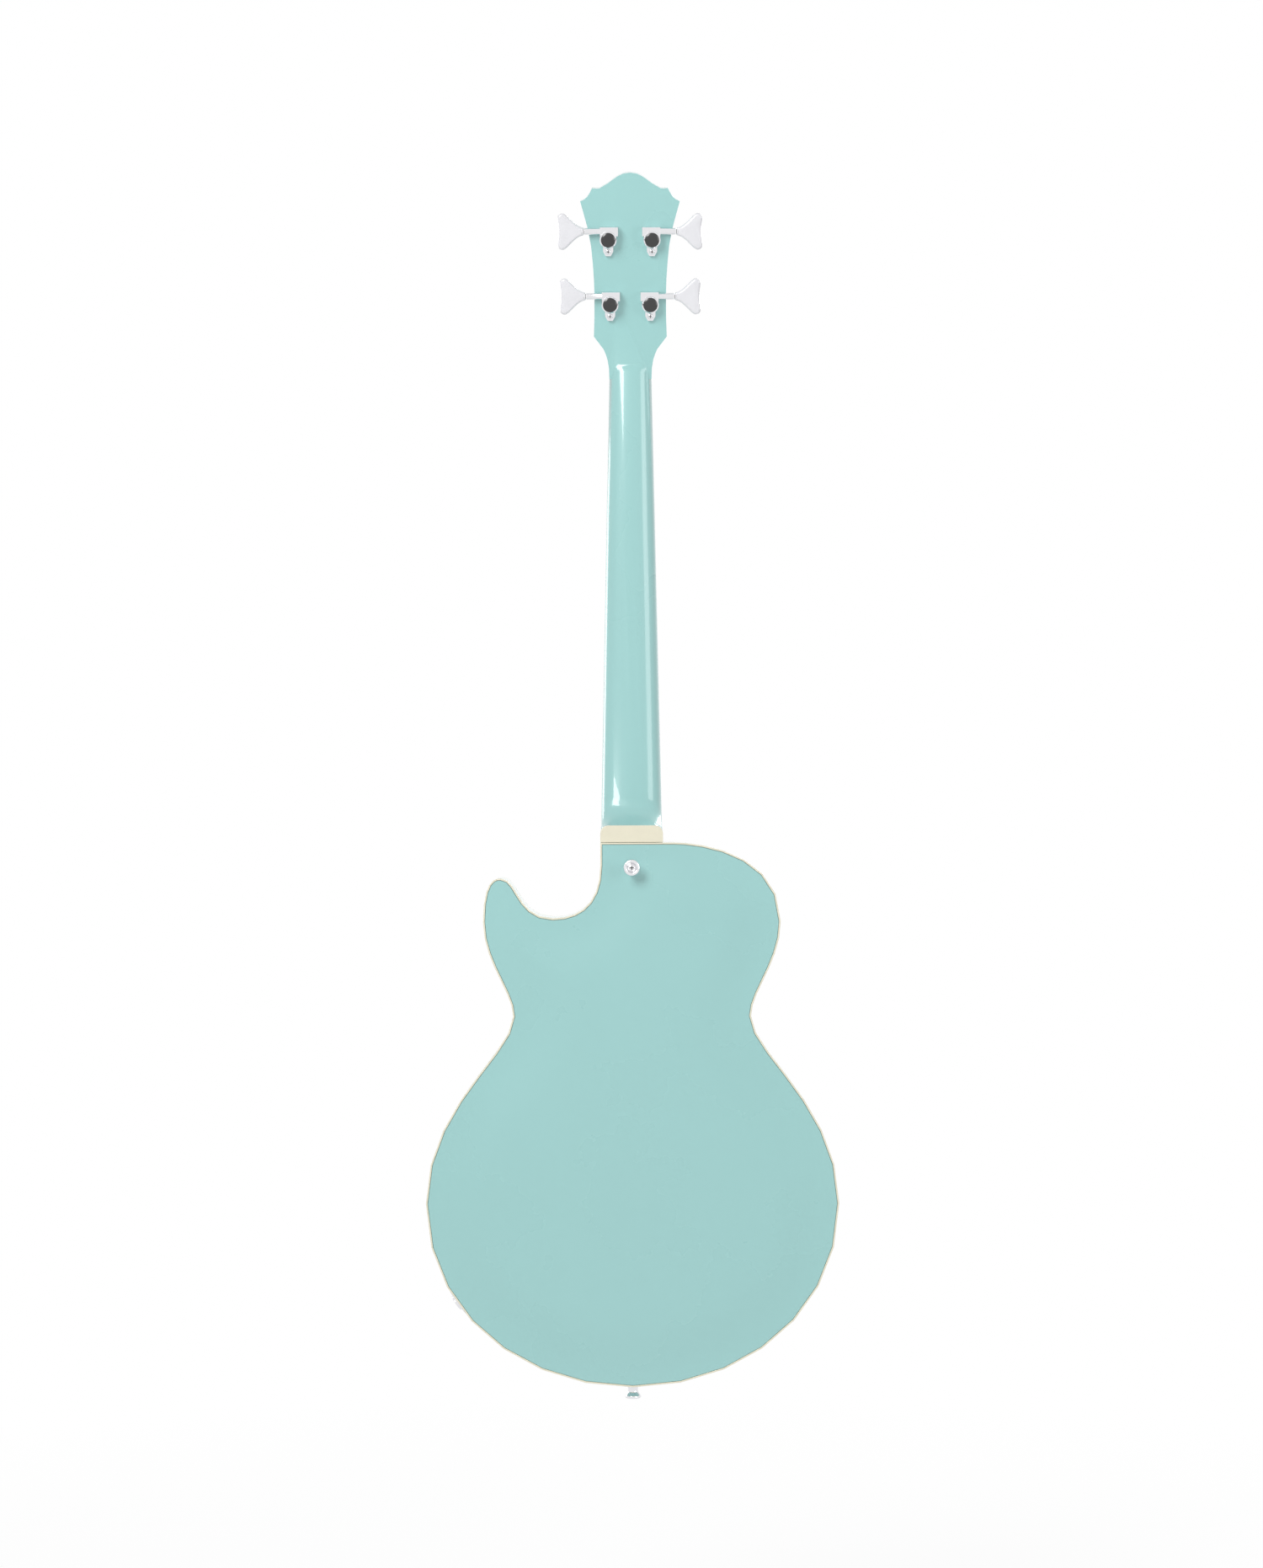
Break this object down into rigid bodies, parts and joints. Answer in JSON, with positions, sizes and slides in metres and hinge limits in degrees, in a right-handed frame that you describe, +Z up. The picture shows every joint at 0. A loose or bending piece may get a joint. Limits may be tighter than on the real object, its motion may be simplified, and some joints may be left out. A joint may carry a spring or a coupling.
{
  "type": "hollow-body bass guitar",
  "caption": "Hollow-body electric bass guitar with a rounded cutaway, sound holes, set neck, geared tuners, bridge, pickups, knobs and strap buttons.",
  "frame": {"origin": "middle of the end strap button's outer face", "axes": "+Z up the neck, -Y out of the front past the strings, +X to the treble side with the cutaway"},
  "size_m": [0.3658, 0.0977, 1.0897],
  "materials": {
    "mint_lacquer": "gloss mint lacquer over maple",
    "cream_plastic": "polished cream plastic",
    "bare_wood": "unfinished spruce and mahogany",
    "rosewood": "oiled rosewood",
    "bone": "bone",
    "steel": "plated steel",
    "black_plastic": "gloss black",
    "white_plastic": "white pearl plastic",
    "string_steel": "wound nickel steel",
    "chrome": "polished chrome"
  },
  "bodies": {
    "body": {"body_back": "mint_lacquer", "body_sides": "mint_lacquer", "body_top": "mint_lacquer", "neck": "mint_lacquer", "back_binding": "cream_plastic", "top_binding": "cream_plastic", "heel_cap": "cream_plastic", "back_lining": "bare_wood", "top_lining": "bare_wood", "neck_block": "bare_wood", "tail_block": "bare_wood", "bass_brace": "bare_wood", "treble_brace": "bare_wood", "bridge_block": "bare_wood", "fretboard": "rosewood", "nut": "bone", "truss_rod": "steel", "truss_rod_cover": "black_plastic", "selector_switch": "steel", "neck_volume_pot": "steel", "bridge_volume_pot": "steel", "tone_pot": "steel", "neck_pickup_ring": "black_plastic", "bridge_pickup_ring": "black_plastic", "neck_pickup": "chrome", "bridge_pickup": "chrome", "string_e": "string_steel", "string_a": "string_steel", "string_d": "string_steel", "string_g": "string_steel", "tuner_housing_e": "chrome", "tuner_housing_a": "chrome", "tuner_housing_d": "chrome", "tuner_housing_g": "chrome", "bridge": "chrome", "bridge_post_bass": "chrome", "bridge_post_treble": "chrome", "tailpiece": "chrome", "tailpiece_stud_bass": "chrome", "tailpiece_stud_treble": "chrome", "output_jack": "chrome", "jack_plate": "chrome", "heel_strap_button": "chrome", "end_strap_button": "chrome"},
    "tuner_key_e": {"tuner_key_e": "white_plastic"},
    "tuner_key_a": {"tuner_key_a": "white_plastic"},
    "tuner_key_d": {"tuner_key_d": "white_plastic"},
    "tuner_key_g": {"tuner_key_g": "white_plastic"},
    "string_post_e": {"string_post_e": "chrome"},
    "string_post_a": {"string_post_a": "chrome"},
    "string_post_d": {"string_post_d": "chrome"},
    "string_post_g": {"string_post_g": "chrome"},
    "neck_volume_knob": {"neck_volume_knob": "black_plastic"},
    "bridge_volume_knob": {"bridge_volume_knob": "black_plastic"},
    "tone_knob": {"tone_knob": "black_plastic"},
    "selector_lever": {"selector_lever": "cream_plastic"},
    "saddle_e": {"saddle_e": "chrome"},
    "saddle_a": {"saddle_a": "chrome"},
    "saddle_d": {"saddle_d": "chrome"},
    "saddle_g": {"saddle_g": "chrome"}
  },
  "joints": [
    {"name": "key_e_turn", "type": "hinge", "parent": "body", "child": "tuner_key_e", "pos_m": [-0.0179, 0.01411, 0.98072], "axis": [1, 0, 0], "continuous": true},
    {"name": "post_e_turn", "type": "hinge", "parent": "body", "child": "string_post_e", "pos_m": [-0.0179, -0.00541, 0.97859], "axis": [0, 0.9659, -0.2588], "continuous": true},
    {"name": "key_a_turn", "type": "hinge", "parent": "body", "child": "tuner_key_a", "pos_m": [-0.0194, 0.02886, 1.03577], "axis": [1, 0, 0], "continuous": true},
    {"name": "post_a_turn", "type": "hinge", "parent": "body", "child": "string_post_a", "pos_m": [-0.0194, 0.00934, 1.03365], "axis": [0, 0.9659, -0.2588], "continuous": true},
    {"name": "key_d_turn", "type": "hinge", "parent": "body", "child": "tuner_key_d", "pos_m": [0.0194, 0.02886, 1.03577], "axis": [1, 0, 0], "continuous": true},
    {"name": "post_d_turn", "type": "hinge", "parent": "body", "child": "string_post_d", "pos_m": [0.0194, 0.00934, 1.03365], "axis": [0, 0.9659, -0.2588], "continuous": true},
    {"name": "key_g_turn", "type": "hinge", "parent": "body", "child": "tuner_key_g", "pos_m": [0.0179, 0.01411, 0.98072], "axis": [1, 0, 0], "continuous": true},
    {"name": "post_g_turn", "type": "hinge", "parent": "body", "child": "string_post_g", "pos_m": [0.0179, -0.00541, 0.97859], "axis": [0, 0.9659, -0.2588], "continuous": true},
    {"name": "neck_volume_turn", "type": "hinge", "parent": "body", "child": "neck_volume_knob", "pos_m": [0.128, 0, 0.1783], "axis": [0, -1, 0], "range_deg": [0, 270]},
    {"name": "bridge_volume_turn", "type": "hinge", "parent": "body", "child": "bridge_volume_knob", "pos_m": [0.11, 0, 0.1323], "axis": [0, -1, 0], "range_deg": [0, 270]},
    {"name": "tone_turn", "type": "hinge", "parent": "body", "child": "tone_knob", "pos_m": [0.08, 0, 0.0943], "axis": [0, -1, 0], "range_deg": [0, 270]},
    {"name": "selector_tilt", "type": "hinge", "parent": "body", "child": "selector_lever", "pos_m": [-0.088, -0.02349, 0.4178], "axis": [1, 0, 0], "range_deg": [-12, 12]},
    {"name": "saddle_e_slide", "type": "slide", "parent": "body", "child": "saddle_e", "axis": [0, 0, 1], "range_m": [-0.003, 0.003]},
    {"name": "saddle_a_slide", "type": "slide", "parent": "body", "child": "saddle_a", "axis": [0, 0, 1], "range_m": [-0.003, 0.003]},
    {"name": "saddle_d_slide", "type": "slide", "parent": "body", "child": "saddle_d", "axis": [0, 0, 1], "range_m": [-0.003, 0.003]},
    {"name": "saddle_g_slide", "type": "slide", "parent": "body", "child": "saddle_g", "axis": [0, 0, 1], "range_m": [-0.003, 0.003]}
  ],
  "couplings": [
    {"joint": "post_e_turn", "follows": "key_e_turn", "ratio": 0.0625},
    {"joint": "post_a_turn", "follows": "key_a_turn", "ratio": 0.0625},
    {"joint": "post_d_turn", "follows": "key_d_turn", "ratio": 0.0625},
    {"joint": "post_g_turn", "follows": "key_g_turn", "ratio": 0.0625}
  ]
}
